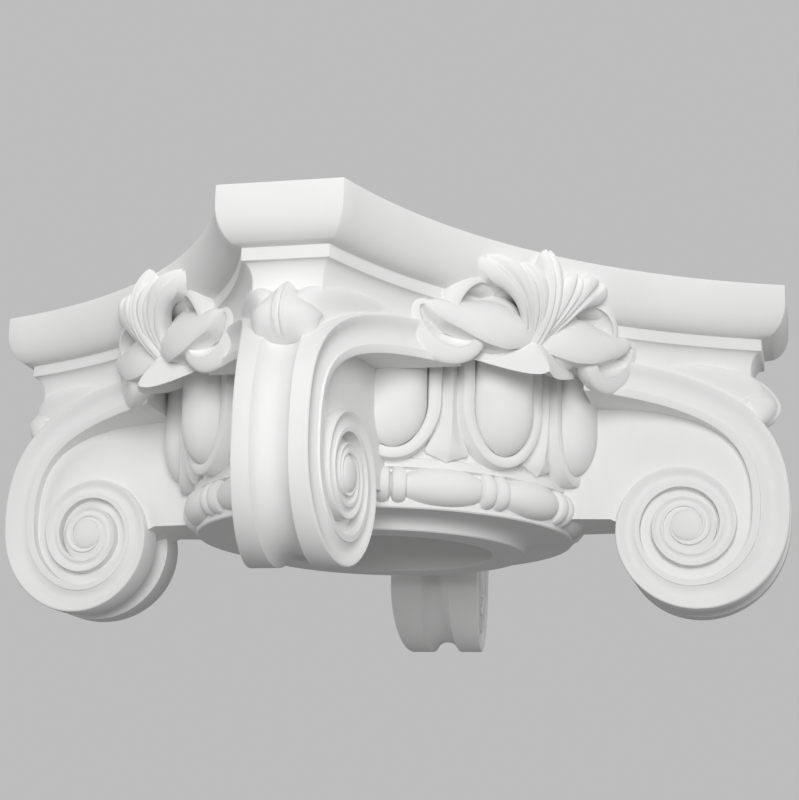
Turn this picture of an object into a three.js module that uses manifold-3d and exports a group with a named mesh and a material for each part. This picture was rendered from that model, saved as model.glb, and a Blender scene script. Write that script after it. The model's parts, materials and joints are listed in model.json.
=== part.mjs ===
// Angular Ionic column capital, cast in one piece, in millimetres, +Z up.
// Four corner volute fins under a hollow-sided abacus, a fleuron on each side,
// twelve eggs over a bead-and-reel ring, and a short bored spigot that enters the shaft.
// The origin is on the axis, at the level of the four volute bottoms that it stands on.
import * as THREE from "three";
import { mergeVertices } from "three/addons/utils/BufferGeometryUtils.js";
import Module from "manifold-3d";

const wasm = await Module();
wasm.setup();

// Abacus
const HEIGHT = 200; // volute bottoms to the flat top
const CORNER_REACH = 260; // axis to the cut corner
const CORNER_WIDTH = 72; // width of the cut corner at the top
const SIDE_REACH = 170.5; // axis to the middle of a hollow side
const ABACUS_BOTTOM = 142;
const SIDE_STEPS = 5;
// Moulding below the top edge: distance in from the edge, height
const ABACUS_PROFILE = [
  [22, ABACUS_BOTTOM],
  [20.5, 154],
  [15.5, 160.5],
  [15.5, 168],
  [5, 175],
  [0, 189],
  [0, HEIGHT],
];

// Round body under the abacus: radius, height
const SEAT_RADIUS = 122; // underside that sits on the shaft
const SEAT_Z = 48;
const SPIGOT_RADIUS = 92;
const SPIGOT_Z = 40;
const BORE_RADIUS = 70;
const BORE_TOP = 85;
const BODY_TOP = 147;
const BODY_SIDES = 24; // a flat behind each egg and each dart
const BODY_PROFILE = [
  [0, BORE_TOP],
  [BORE_RADIUS, BORE_TOP],
  [BORE_RADIUS, SPIGOT_Z],
  [SPIGOT_RADIUS, SPIGOT_Z],
  [SPIGOT_RADIUS, SEAT_Z - 5],
  [SPIGOT_RADIUS + 6, SEAT_Z],
  [SEAT_RADIUS, SEAT_Z],
  [SEAT_RADIUS, 77],
  [127, BODY_TOP],
  [0, BODY_TOP],
];

// Egg and dart ring
const EGG_COUNT = 12;
const EGG_RADIUS = 133; // axis to the egg's own axis
const EGG = { wide: 20, deep: 13.5, belly: 110, bottom: 82, top: 155 };
const EGG_LEVELS = [-0.9, -0.45, 0.8]; // share of the way down or up from the belly
const EGG_COLUMNS = [-1, -0.75, 0, 0.75, 1]; // share of the half width
const RIM = { gap: 5, wide: 4.5, deep: 9, drop: 4, radius: 131, top: 147, steps: 4 };
// Dart: height, half width, and how far its ridge stands out
const DART = { radius: 129, back: 9 };
const DART_PROFILE = [
  [76, 0.6, 0],
  [87, 8, 5.4],
  [101, 5.6, 9],
  [BODY_TOP, 8, 9],
];

// Bead and reel ring: twelve long beads with a pair of reels between them
const BEAD_RADIUS = 120;
const BEAD_Z = 62.4;
const BEAD_SECTION = 4;
const BEAD_WRAP = 1.3 * Math.PI; // part of its section that stands clear of the body
// Swell of the ring over one bead and its two reels: share of the repeat, thickness
const BEAD_SWELL = [
  [-0.35, 7],
  [-0.18, 11.2],
  [0.18, 11.2],
  [0.35, 7],
  [0.43, 10],
  [0.5, 8],
  [0.57, 10],
];

// Corner volutes: reach from the axis, height, and spiral that halves on each turn
const EYE_REACH = 197;
const EYE_RADIUS = 10;
const EYE_PROUD = 2.5;
const EYE_SIDES = 7;
const EYE_CROWN = 0.55; // radius of the dome's flat top as a share of the eye's
const SPIRAL_RADIUS = 61.5;
const TURN_RATIO = 0.49;
const TURNS = 2.7;
const BAND_STEPS = 5;
const TURN_STEPS = 12;
const INNER_START = 0.94; // the turn at which the inner spiral leaves the outer one
const INNER_STEPS = 7;
const EYE_Z = SPIRAL_RADIUS * TURN_RATIO ** 0.25; // a quarter turn down, the volute meets z = 0
const BAND_SHARE = 0.33; // band width as a share of the spiral's radius
const BAND_WIDTH = 22.5; // band width along the top
// Section of the outer band and of the inner turns: share of the width, depth below the face
const BAND_SECTION = [
  [0, 0],
  [0.24, 0],
  [0.52, 3],
  [1, 0.6],
];
const PANEL_DEPTH = 7.5; // sunk panel below the bands
const ROOT_DEPTH = PANEL_DEPTH + 2; // where raised work is rooted in the panel
const INNER_SECTION = [
  [0, ROOT_DEPTH],
  [0.15, 0.2],
  [1, 1.2],
  [1, ROOT_DEPTH],
];
const FACE_AT_EYE = 27.8; // half thickness of a fin at its eye
const FACE_SPLAY = 0.11; // thickening towards the axis
const EDGE_CHANNEL = 6; // hollow of the fin's outer edge
const CHANNEL_START = -0.6; // the hollow fades out under the abacus
const EDGE_FILLET = 10.5; // where the edge fillets start, from the middle
const BAND_RISE = 46; // how far the band swings out towards the fleuron
const RISE_POWER = 4.7;
const BAND_END = [-62, 97]; // the band's end at the fleuron, from the eye
const BAND_PULL = [45, 100];
const SPIRAL_PULL = [67, 55];
const WEB = { inner: 100, bottom: 56, top: 146, foot: 150, cover: 0.55 };
// Turns of the volute that the web's outline follows, from below the eye to the fleuron
const WEB_TURNS = [0.5, 0.4, 0.3, 0.2, 0.1, 0, -0.2, -0.4, -0.6, -0.8];

// Corner bud between the abacus horn and the fin
const BUD = { reach: 236, z: 131, out: 19, wide: 21, up: 19, down: 18, pinch: 0.45, ridge: 2.5 };

// Fleuron on the middle of each side: a fan of leaves, a tongue and two curled side leaves
const FAN = { z: 144, back: 146, bulge: 34, leaves: 9, long: 56, dip: 0.2, low: 16 };
const FAN_HALF = THREE.MathUtils.degToRad(100); // from upright to the last leaf on one side
const FAN_FOOT = 0.4; // from the last leaf to the foot
const FAN_VALLEY = 0.4; // least share of the bulge, at the foot
const FAN_CROWN = [0.5, 1]; // share of the leaf's length, share of the bulge
const FAN_EDGE = [1, 0.72];
const TONGUE = { root: 164, tip: 188, rootZ: 145, tipZ: 124, wide: 17, flare: 1.5, thick: 6, lift: 4.8 };
const CURL = { root: 14, reach: 60, low: 130, rise: 22, out: 160, swell: 9, steps: 3, sides: 4 };
const CURL_THICK = 13;
const CURL_TAPER = 0.6;
const CURL_LEAN = 1.2; // turn of the section from root to end
const CURL_BEND = 2.2; // angle that the leaf runs through, out and a little back

const PLASTER = new THREE.MeshStandardMaterial({ color: 0xf1f1ef, roughness: 0.85, metalness: 0 });

// A closed geometry as a solid, with merged corners and its faces turned outwards
function solid(geometry) {
  const bare = geometry.clone();
  for (const name of Object.keys(bare.attributes)) {
    if (name !== "position") bare.deleteAttribute(name);
  }
  const merged = mergeVertices(bare, 1e-3);
  const index = merged.index.array;
  const faces = [];
  for (let i = 0; i < index.length; i += 3) {
    const [a, b, c] = [index[i], index[i + 1], index[i + 2]];
    if (a !== b && b !== c && c !== a) faces.push([a, b, c]);
  }
  const point = (i) => new THREE.Vector3().fromBufferAttribute(merged.attributes.position, i);
  const volume = faces.reduce((sum, [a, b, c]) => sum + point(a).dot(point(b).cross(point(c))), 0);
  const turned = volume < 0 ? faces.map(([a, b, c]) => [a, c, b]) : faces;
  const mesh = new wasm.Mesh({
    numProp: 3,
    vertProperties: merged.attributes.position.array,
    triVerts: new Uint32Array(turned.flat()),
  });
  return new wasm.Manifold(mesh);
}

function join(solids) {
  return solids.reduce((whole, next) => whole.add(next));
}

function moveVertices(geometry, place) {
  const position = geometry.attributes.position;
  for (let i = 0; i < position.count; i += 1) {
    const moved = place(position.getX(i), position.getY(i), position.getZ(i));
    position.setXYZ(i, moved.x, moved.y, moved.z);
  }
  return geometry;
}

// A skin through closed rings of points, drawn together to one point at each end
function skin(rings) {
  const count = rings[0].length;
  const middle = (ring) => ring.reduce((sum, p) => sum.add(p), new THREE.Vector3()).divideScalar(count);
  const collapsed = (ring) => Array(count).fill(middle(ring));
  const rows = [collapsed(rings[0]), ...rings, collapsed(rings[rings.length - 1])];
  const profile = rows.map((row, i) => new THREE.Vector2(1, i));
  const geometry = new THREE.LatheGeometry(profile, count);
  for (let side = 0; side <= count; side += 1) {
    rows.forEach((row, j) => {
      const p = row[side % count];
      geometry.attributes.position.setXYZ(side * rows.length + j, p.x, p.y, p.z);
    });
  }
  return solid(geometry);
}

// A place from its distance out along a direction, its distance to the left of it, and its height
function polarFrame(angle) {
  const cos = Math.cos(angle);
  const sin = Math.sin(angle);
  return (out, left, z) => new THREE.Vector3(out * cos - left * sin, out * sin + left * cos, z);
}

const quarters = [0, 1, 2, 3].map((k) => (k * Math.PI) / 2);
const sides = quarters.map((angle) => polarFrame(angle));
const corners = quarters.map((angle) => polarFrame(angle + Math.PI / 4));

// Abacus: hollow sides struck from one radius, cut corners, moulding carried all round
function abacusRing(inset, z) {
  const halfX = (CORNER_REACH - CORNER_WIDTH / 2) / Math.SQRT2;
  const sagitta = (CORNER_REACH + CORNER_WIDTH / 2) / Math.SQRT2 - SIDE_REACH;
  const sideRadius = (halfX * halfX + sagitta * sagitta) / (2 * sagitta);
  const centre = SIDE_REACH + sideRadius;
  const radius = sideRadius + inset;
  // the corner where the inset arc meets the inset cut: out + left = root
  const root = (CORNER_REACH - inset) * Math.SQRT2;
  const half = root - centre;
  const left = (half + Math.sqrt(2 * radius * radius - half * half)) / 2;
  const sweep = Math.asin(left / radius);
  const ring = [];
  for (const place of sides) {
    for (let i = 0; i <= SIDE_STEPS; i += 1) {
      const turn = sweep * ((2 * i) / SIDE_STEPS - 1);
      ring.push(place(centre - radius * Math.cos(turn), radius * Math.sin(turn), z));
    }
  }
  return ring;
}

function abacus() {
  return skin(ABACUS_PROFILE.map(([inset, z]) => abacusRing(inset, z)));
}

function roundBody() {
  const profile = BODY_PROFILE.map(([radius, z]) => new THREE.Vector2(radius, z));
  const half = Math.PI / BODY_SIDES;
  return solid(new THREE.LatheGeometry(profile, BODY_SIDES, half).rotateX(Math.PI / 2));
}

// One egg: an upright oval with a blunt point below, flat behind
function egg(place) {
  const rings = EGG_LEVELS.map((y) => {
    const size = Math.sqrt(1 - y * y);
    const height = y < 0 ? EGG.belly - EGG.bottom : EGG.top - EGG.belly;
    const z = EGG.belly + height * y;
    const front = EGG_COLUMNS.map((x) =>
      place(EGG_RADIUS + EGG.deep * size * Math.sqrt(1 - x * x), EGG.wide * size * x, z),
    );
    return [...front, place(EGG_RADIUS - EGG.deep, 0, z)];
  });
  return skin(rings);
}

// The raised rim that runs down one side of an egg, round below it and up the other
function eggRim(place) {
  const wide = EGG.wide + RIM.gap;
  const deep = EGG.belly - EGG.bottom + RIM.drop;
  const bend = Array.from({ length: RIM.steps + 1 }, (_, i) => (i / RIM.steps) * Math.PI);
  const round = bend.map((turn) => [Math.cos(turn), EGG.belly - deep * Math.sin(turn)]);
  const stations = [[1, RIM.top], ...round, [-1, RIM.top]];
  const rings = stations.map(([x, z]) => {
    const below = Math.max(0, (EGG.belly - z) / deep);
    const ridge = (spread, out) =>
      place(RIM.radius + out, (wide + spread * (1 - below)) * x, z - spread * below);
    return [ridge(-RIM.wide / 2, -RIM.deep), ridge(0, RIM.deep / 2), ridge(RIM.wide, -RIM.deep)];
  });
  return skin(rings);
}

// A dart between two eggs: a ridged shaft that widens to a barbed point
function dart(place) {
  const rings = DART_PROFILE.map(([z, wide, deep]) => [
    place(DART.radius - DART.back, wide, z),
    place(DART.radius - DART.back, -wide, z),
    place(DART.radius + deep, 0, z),
  ]);
  return skin(rings);
}

// The bead-and-reel ring: a hoop of round section whose thickness swells for each bead and reel
function beadRing() {
  const section = Array.from({ length: BEAD_SECTION + 1 }, () => new THREE.Vector2(1, 0));
  const stations = ringOf(EGG_COUNT, 0.5).flatMap((middle) =>
    BEAD_SWELL.map(([share, thick]) => [middle + (share * 2 * Math.PI) / EGG_COUNT, thick]),
  );
  const hoop = new THREE.LatheGeometry(section, stations.length);
  for (let i = 0; i <= stations.length; i += 1) {
    const [angle, thick] = stations[i % stations.length];
    const place = polarFrame(angle);
    for (let j = 0; j <= BEAD_SECTION; j += 1) {
      const turn = ((j % BEAD_SECTION) / (BEAD_SECTION - 1) - 0.5) * BEAD_WRAP;
      const p = place(BEAD_RADIUS + thick * Math.cos(turn), 0, BEAD_Z + thick * Math.sin(turn));
      hoop.attributes.position.setXYZ(i * section.length + j, p.x, p.y, p.z);
    }
  }
  return solid(hoop);
}

// The volute's outer edge seen on its face: reach and height, and the way its band faces.
// Turn runs from -1 at the fleuron to 0 beside the eye, and on into the spiral.
function voluteEdge(turn) {
  if (turn < 0) {
    const curve = new THREE.CubicBezierCurve(
      new THREE.Vector2(...BAND_END),
      new THREE.Vector2(...BAND_PULL),
      new THREE.Vector2(...SPIRAL_PULL),
      new THREE.Vector2(SPIRAL_RADIUS, 0),
    );
    const p = curve.getPoint(turn + 1);
    const t = curve.getTangent(turn + 1);
    return { u: EYE_REACH + p.x, z: EYE_Z + p.y, nu: -t.y, nz: t.x, width: BAND_WIDTH };
  }
  const radius = SPIRAL_RADIUS * TURN_RATIO ** turn;
  const angle = turn * 2 * Math.PI;
  const lean = -Math.atan(Math.log(TURN_RATIO) / (2 * Math.PI));
  return {
    u: EYE_REACH + radius * Math.cos(angle),
    z: EYE_Z - radius * Math.sin(angle),
    nu: Math.cos(angle + lean),
    nz: -Math.sin(angle + lean),
    width: radius * BAND_SHARE,
  };
}

function faceAt(u) {
  return FACE_AT_EYE + (EYE_REACH - u) * FACE_SPLAY;
}

// The point of a fin's section at a depth below the outer edge, measured on the face.
// The section keeps the edge's half thickness, so its rim stays level with the face.
function sectionPlace(place, edge, rise) {
  return (depth, side, sunk) => {
    const u = edge.u - edge.nu * depth;
    const half = faceAt(u) + rise - sunk;
    return place(u, side * half, edge.z - edge.nz * depth);
  };
}

// Outer turn of a fin with its hollowed edge and the bands that swing out to the fleurons
function outerTurn(place) {
  const turns = [];
  for (let i = 0; i < BAND_STEPS; i += 1) turns.push(i / BAND_STEPS - 1);
  for (let i = 0; i <= TURN_STEPS; i += 1) turns.push(i / TURN_STEPS);
  const rings = turns.map((turn) => {
    const edge = voluteEdge(turn);
    const rise = turn < 0 ? BAND_RISE * (-turn) ** RISE_POWER : 0;
    const hollow = turn < CHANNEL_START ? 0 : EDGE_CHANNEL;
    const onFace = sectionPlace(place, edge, rise);
    const half = (side) => [
      place(edge.u, side * EDGE_FILLET, edge.z),
      ...BAND_SECTION.map(([share, sunk]) => onFace(share * edge.width, side, sunk)),
    ];
    const channel = place(edge.u - edge.nu * hollow, 0, edge.z - edge.nz * hollow);
    return [channel, ...half(1), ...half(-1).reverse()];
  });
  return skin(rings);
}

// Inner turns of the spiral, raised on one face of the fin
function innerTurns(place, side) {
  const rings = [];
  for (let i = 0; i <= INNER_STEPS; i += 1) {
    const edge = voluteEdge(INNER_START + ((TURNS - INNER_START) * i) / INNER_STEPS);
    const onFace = sectionPlace(place, edge, 0);
    rings.push(INNER_SECTION.map(([share, sunk]) => onFace(share * edge.width, side, sunk)));
  }
  return skin(rings);
}

// The eye: a low dome that closes the spiral
function eye(place, side) {
  const ring = (radius, sunk) =>
    ringOf(EYE_SIDES, 0).map((angle) => {
      const u = EYE_REACH + radius * Math.cos(angle);
      return place(u, side * (faceAt(u) - sunk), EYE_Z + radius * Math.sin(angle));
    });
  const crown = ring(EYE_RADIUS * EYE_CROWN, -EYE_PROUD);
  return skin([ring(EYE_RADIUS, ROOT_DEPTH), ring(EYE_RADIUS, 1), crown]);
}

// The sunk panel: a web from the round body out into the volute, below the level of the bands
function web(place) {
  const outline = new THREE.Shape();
  outline.moveTo(WEB.inner, WEB.bottom);
  outline.lineTo(WEB.foot, WEB.bottom);
  for (const turn of WEB_TURNS) {
    const edge = voluteEdge(turn);
    const depth = WEB.cover * edge.width;
    outline.lineTo(edge.u - edge.nu * depth, edge.z - edge.nz * depth);
  }
  outline.lineTo(EYE_REACH + BAND_END[0], WEB.top);
  outline.lineTo(WEB.inner, WEB.top);
  const slab = new THREE.ExtrudeGeometry(outline, { depth: 2, steps: 1, bevelEnabled: false });
  moveVertices(slab, (u, z, w) => place(u, (w - 1) * (faceAt(u) - PANEL_DEPTH), z));
  return solid(slab);
}

// A pointed bud with a central rib that fills the corner under the abacus horn
function bud(place) {
  const shape = moveVertices(new THREE.SphereGeometry(1, 8, 4), (x, y, z) => {
    const ridge = BUD.ridge * Math.max(0, z) * Math.max(0, 1 - 3 * Math.abs(x));
    const pinch = y > 0 ? 1 - BUD.pinch * y : 1;
    const height = y > 0 ? BUD.up : BUD.down;
    return place(BUD.reach + BUD.out * z + ridge, BUD.wide * x * pinch, BUD.z + height * y);
  });
  return solid(shape);
}

// The fleuron's fan: a scalloped dome whose rim goes out at each leaf and in between two leaves
function fan(place) {
  const rim = [];
  for (let i = 0; i <= 2 * FAN.leaves; i += 1) {
    const angle = FAN_HALF * (i / FAN.leaves - 1);
    rim.push([angle, i % 2 === 0 ? FAN.long * (1 - FAN.dip) : FAN.long]);
  }
  for (const angle of [FAN_HALF + FAN_FOOT, Math.PI, -FAN_HALF - FAN_FOOT]) rim.push([angle, FAN.low]);
  const ring = ([share, out]) =>
    rim.map(([angle, reach]) => {
      const far = reach * share;
      const swell = out * FAN.bulge * (FAN_VALLEY + ((1 - FAN_VALLEY) * reach) / FAN.long);
      return place(FAN.back + swell, -far * Math.sin(angle), FAN.z + far * Math.cos(angle));
    });
  return skin([ring(FAN_CROWN), ring(FAN_EDGE), ring([1, -1])]);
}

// The smooth tongue that droops from the fleuron's root over the middle egg
function tongue(place) {
  const shape = moveVertices(new THREE.SphereGeometry(1, 6, 4), (x, y, z) => {
    const along = (1 - y) / 2;
    const out = THREE.MathUtils.lerp(TONGUE.root, TONGUE.tip, along) + TONGUE.thick * z;
    const wide = TONGUE.wide * (TONGUE.flare - along) * x;
    return place(out, wide, THREE.MathUtils.lerp(TONGUE.rootZ, TONGUE.tipZ, along) + TONGUE.lift * z);
  });
  return solid(shape);
}

// A side leaf of the fleuron: a horn that runs out from the root and rises at its end
function curl(place, side) {
  const rings = [];
  for (let i = 0; i <= CURL.steps; i += 1) {
    const t = i / CURL.steps;
    const thick = CURL_THICK * (1 - CURL_TAPER * t * t);
    const x = CURL.root + CURL.reach * Math.sin(Math.min(t * CURL_BEND, Math.PI / 2));
    const z = CURL.low + CURL.rise * t * t;
    const out = CURL.out + CURL.swell * Math.sin(t * Math.PI);
    const lean = -t * CURL_LEAN;
    const section = ringOf(CURL.sides, 0).map((angle) => {
      const across = thick * Math.sin(angle);
      const left = side * (x + across * Math.sin(lean));
      return place(out + thick * Math.cos(angle), left, z + across * Math.cos(lean));
    });
    rings.push(section);
  }
  return skin(rings);
}

function ringOf(count, offset) {
  return Array.from({ length: count }, (_, i) => ((i + offset) / count) * 2 * Math.PI);
}

function capital() {
  const pieces = [roundBody(), abacus(), beadRing()];
  for (const angle of ringOf(EGG_COUNT, 0)) {
    const place = polarFrame(angle);
    pieces.push(egg(place), eggRim(place));
  }
  for (const angle of ringOf(EGG_COUNT, 0.5)) pieces.push(dart(polarFrame(angle)));
  for (const place of corners) {
    pieces.push(web(place), outerTurn(place), bud(place));
    for (const side of [1, -1]) pieces.push(innerTurns(place, side), eye(place, side));
  }
  for (const place of sides) {
    pieces.push(fan(place), tongue(place), curl(place, 1), curl(place, -1));
  }
  return join(pieces);
}

function meshOf(shape, name, material) {
  const { vertProperties, triVerts } = shape.getMesh();
  const geometry = new THREE.BufferGeometry();
  geometry.setAttribute("position", new THREE.Float32BufferAttribute(vertProperties, 3));
  geometry.setIndex(Array.from(triVerts));
  geometry.computeVertexNormals();
  const mesh = new THREE.Mesh(geometry, material);
  mesh.name = name;
  return mesh;
}

const part = new THREE.Group();
part.add(meshOf(capital(), "capital", PLASTER));

export default part;
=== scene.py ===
"""A cast plaster column capital with corner volutes and side fleurons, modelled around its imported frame."""

import json
import math

import bmesh
import bpy
from bpy.props import FloatProperty, FloatVectorProperty, IntProperty, PointerProperty
from mathutils import Matrix, Vector

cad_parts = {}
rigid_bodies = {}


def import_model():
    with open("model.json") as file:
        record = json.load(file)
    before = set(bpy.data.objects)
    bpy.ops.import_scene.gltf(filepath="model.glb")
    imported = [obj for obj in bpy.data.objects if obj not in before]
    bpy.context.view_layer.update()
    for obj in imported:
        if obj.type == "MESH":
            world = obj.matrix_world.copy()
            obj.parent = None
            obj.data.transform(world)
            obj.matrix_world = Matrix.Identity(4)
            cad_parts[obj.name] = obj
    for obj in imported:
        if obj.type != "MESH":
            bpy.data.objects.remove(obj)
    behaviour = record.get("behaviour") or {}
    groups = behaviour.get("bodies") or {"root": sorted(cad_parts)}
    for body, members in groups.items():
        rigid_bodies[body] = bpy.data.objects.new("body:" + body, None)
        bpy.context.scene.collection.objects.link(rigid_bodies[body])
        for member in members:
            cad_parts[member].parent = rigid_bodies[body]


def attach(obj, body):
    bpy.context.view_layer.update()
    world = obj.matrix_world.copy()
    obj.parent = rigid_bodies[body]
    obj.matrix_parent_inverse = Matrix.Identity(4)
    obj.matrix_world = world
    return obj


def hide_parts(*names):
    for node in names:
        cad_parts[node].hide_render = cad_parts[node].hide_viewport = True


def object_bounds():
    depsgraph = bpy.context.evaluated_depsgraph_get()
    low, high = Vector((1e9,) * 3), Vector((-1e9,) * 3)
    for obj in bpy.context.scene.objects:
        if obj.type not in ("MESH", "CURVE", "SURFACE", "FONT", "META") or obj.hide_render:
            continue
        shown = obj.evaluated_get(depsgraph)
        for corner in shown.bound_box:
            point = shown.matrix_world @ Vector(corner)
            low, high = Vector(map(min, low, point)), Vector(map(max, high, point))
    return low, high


bl_info = {
    "name": "Plaster Capital",
    "version": (1, 0, 0),
    "blender": (4, 5, 0),
    "location": "View3D > Sidebar > Capital",
    "description": "Models a cast column capital with corner volutes, eggs, beads and side fleurons",
    "category": "Add Mesh",
}

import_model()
CAD_LOW, CAD_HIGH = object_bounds()

MM = 0.001
HEIGHT = CAD_HIGH.z
WELD = 1e-6
LEVEL = 0.9999  # a face whose normal is this upright lies level and is shaded flat
CREASE = math.radians(32)  # edges that turn more than this are shaded sharp
ARRIS_TURN = math.radians(28)  # edges of the abacus that turn more than this are worn round
MOST_TRIANGLES = 200000
NODE = "capital"
FORMS = "capital_forms"
CASTING = "capital_casting"
QUARTERS = [k * math.pi / 2 for k in range(4)]
CORNERS = [angle + math.pi / 4 for angle in QUARTERS]


class AbacusSizes(bpy.types.PropertyGroup):
    """The slab on top: hollow sides, cut corners and the moulding under its edge."""

    corner_reach: FloatProperty(
        name="Corner Reach", description="Axis to a cut corner", default=260 * MM, unit="LENGTH")
    corner_width: FloatProperty(
        name="Corner Width", description="Width of a cut corner", default=72 * MM, unit="LENGTH")
    side_reach: FloatProperty(
        name="Side Reach", description="Axis to the middle of a side", default=170.5 * MM, unit="LENGTH")
    fascia: FloatProperty(
        name="Fascia", description="Height of the plain edge", default=11 * MM, unit="LENGTH")
    ovolo_height: FloatProperty(
        name="Ovolo Height", description="Height of the round", default=20.5 * MM, unit="LENGTH")
    ovolo_depth: FloatProperty(
        name="Ovolo Depth", description="How far the round goes in", default=14 * MM, unit="LENGTH")
    fillet: FloatProperty(
        name="Fillet", description="Height of the step under the round", default=7.5 * MM, unit="LENGTH")
    cavetto_height: FloatProperty(
        name="Cavetto Height", description="Height of the hollow", default=11 * MM, unit="LENGTH")
    cavetto_depth: FloatProperty(
        name="Cavetto Depth", description="How far the hollow goes in", default=7 * MM, unit="LENGTH")
    neck: FloatProperty(
        name="Neck", description="Plain height under the hollow", default=9 * MM, unit="LENGTH")


class BodySizes(bpy.types.PropertyGroup):
    """The round body with its seat, spigot and bore."""

    seat_radius: FloatProperty(
        name="Seat Radius", description="Underside that sits on the shaft", default=122 * MM, unit="LENGTH")
    seat_height: FloatProperty(
        name="Seat Height", description="Level of the seat", default=48 * MM, unit="LENGTH")
    spigot_radius: FloatProperty(
        name="Spigot Radius", description="Plug that enters the shaft", default=92 * MM, unit="LENGTH")
    spigot_height: FloatProperty(
        name="Spigot Height", description="Level of the spigot's end", default=40 * MM, unit="LENGTH")
    bore_radius: FloatProperty(
        name="Bore Radius", description="Hole in the spigot", default=70 * MM, unit="LENGTH")
    bore_top: FloatProperty(
        name="Bore Top", description="Level of the bore's end", default=85 * MM, unit="LENGTH")
    top: FloatProperty(
        name="Top", description="Level where the abacus takes over", default=147 * MM, unit="LENGTH")


class EggSizes(bpy.types.PropertyGroup):
    """The ring of eggs in their shells, with darts between them."""

    count: IntProperty(name="Count", description="Eggs round the body", default=12)
    radius: FloatProperty(
        name="Radius", description="Axis to an egg's own axis", default=133 * MM, unit="LENGTH")
    half_width: FloatProperty(
        name="Half Width", description="Half the width of an egg", default=20 * MM, unit="LENGTH")
    depth: FloatProperty(
        name="Depth", description="How far an egg stands out", default=13.5 * MM, unit="LENGTH")
    belly: FloatProperty(
        name="Belly", description="Level of an egg's widest part", default=110 * MM, unit="LENGTH")
    bottom: FloatProperty(
        name="Bottom", description="Level of an egg's lower end", default=82 * MM, unit="LENGTH")
    shell_gap: FloatProperty(
        name="Shell Gap", description="Egg to the middle of its shell's rim", default=4.6 * MM, unit="LENGTH")
    shell_rim: FloatProperty(
        name="Shell Rim", description="Width of a shell's rim", default=8.2 * MM, unit="LENGTH")


class BeadSizes(bpy.types.PropertyGroup):
    """The ring of long beads and reels."""

    radius: FloatProperty(
        name="Radius", description="Axis to the middle of a bead", default=120 * MM, unit="LENGTH")
    height: FloatProperty(
        name="Height", description="Level of the ring", default=61.8 * MM, unit="LENGTH")
    bead: FloatProperty(
        name="Bead", description="Half the thickness of a bead", default=12 * MM, unit="LENGTH")
    reel: FloatProperty(
        name="Reel", description="Half the thickness of a reel", default=11.3 * MM, unit="LENGTH")
    thread: FloatProperty(
        name="Thread", description="Half the thickness between two reels", default=7 * MM, unit="LENGTH")


class VoluteSizes(bpy.types.PropertyGroup):
    """The four corner fins with their spirals."""

    eye_reach: FloatProperty(
        name="Eye Reach", description="Axis to the eye", default=197 * MM, unit="LENGTH")
    eye_radius: FloatProperty(
        name="Eye Radius", description="Radius of the eye", default=10 * MM, unit="LENGTH")
    spiral_radius: FloatProperty(
        name="Spiral Radius", description="Eye to the outer edge beside it", default=61.5 * MM, unit="LENGTH")
    turn_ratio: FloatProperty(
        name="Turn Ratio", description="Radius left after one turn", default=0.49, subtype="FACTOR")
    turns: FloatProperty(name="Turns", description="Turns of the spiral", default=2.85)
    band_share: FloatProperty(
        name="Band Share", description="Band width over the radius", default=0.34, subtype="FACTOR")
    band_width: FloatProperty(
        name="Band Width", description="Band width along the top", default=22.5 * MM, unit="LENGTH")
    channel: FloatProperty(
        name="Channel", description="Depth of the band's hollow", default=3.4 * MM, unit="LENGTH")
    panel: FloatProperty(
        name="Panel", description="Depth of the sunk panel", default=7.5 * MM, unit="LENGTH")
    half_thickness: FloatProperty(
        name="Half Thickness", description="Half of a fin at its eye", default=27.8 * MM, unit="LENGTH")
    edge_channel: FloatProperty(
        name="Edge Channel", description="Depth of the hollow edge", default=7.2 * MM, unit="LENGTH")
    edge_half: FloatProperty(
        name="Edge Half", description="Half the width of the hollow edge", default=10.8 * MM, unit="LENGTH")


class FleuronSizes(bpy.types.PropertyGroup):
    """The leaf ornament on the middle of each side, and the corner buds."""

    tongue_tip: FloatProperty(
        name="Tongue Tip", description="Axis to the tongue's tip", default=179.5 * MM, unit="LENGTH")
    tongue_half: FloatProperty(
        name="Tongue Half", description="Half the width of the tongue", default=38 * MM, unit="LENGTH")
    tongue_height: FloatProperty(
        name="Tongue Height", description="Level of the tongue's root", default=147 * MM, unit="LENGTH")
    tongue_drop: FloatProperty(
        name="Tongue Drop", description="How far its tip hangs down", default=22 * MM, unit="LENGTH")
    bud_reach: FloatProperty(
        name="Bud Reach", description="Axis to the middle of a corner bud", default=236 * MM, unit="LENGTH")
    bud_height: FloatProperty(
        name="Bud Height", description="Level of a corner bud", default=131 * MM, unit="LENGTH")
    bud_half: FloatProperty(
        name="Bud Half", description="Half the width of a corner bud", default=20 * MM, unit="LENGTH")


class PlasterLook(bpy.types.PropertyGroup):
    """The finish of the casting."""

    white: FloatVectorProperty(
        name="White", description="Colour of clean plaster", subtype="COLOR", size=3,
        default=(0.86, 0.86, 0.855))
    shade: FloatVectorProperty(
        name="Shade", description="Colour of the duller patches", subtype="COLOR", size=3,
        default=(0.80, 0.80, 0.795))
    roughness: FloatProperty(
        name="Roughness", description="Roughness of the surface", default=0.82, subtype="FACTOR")
    grain: FloatProperty(
        name="Grain", description="Strength of the chalky grain", default=0.05, subtype="FACTOR")


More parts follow.
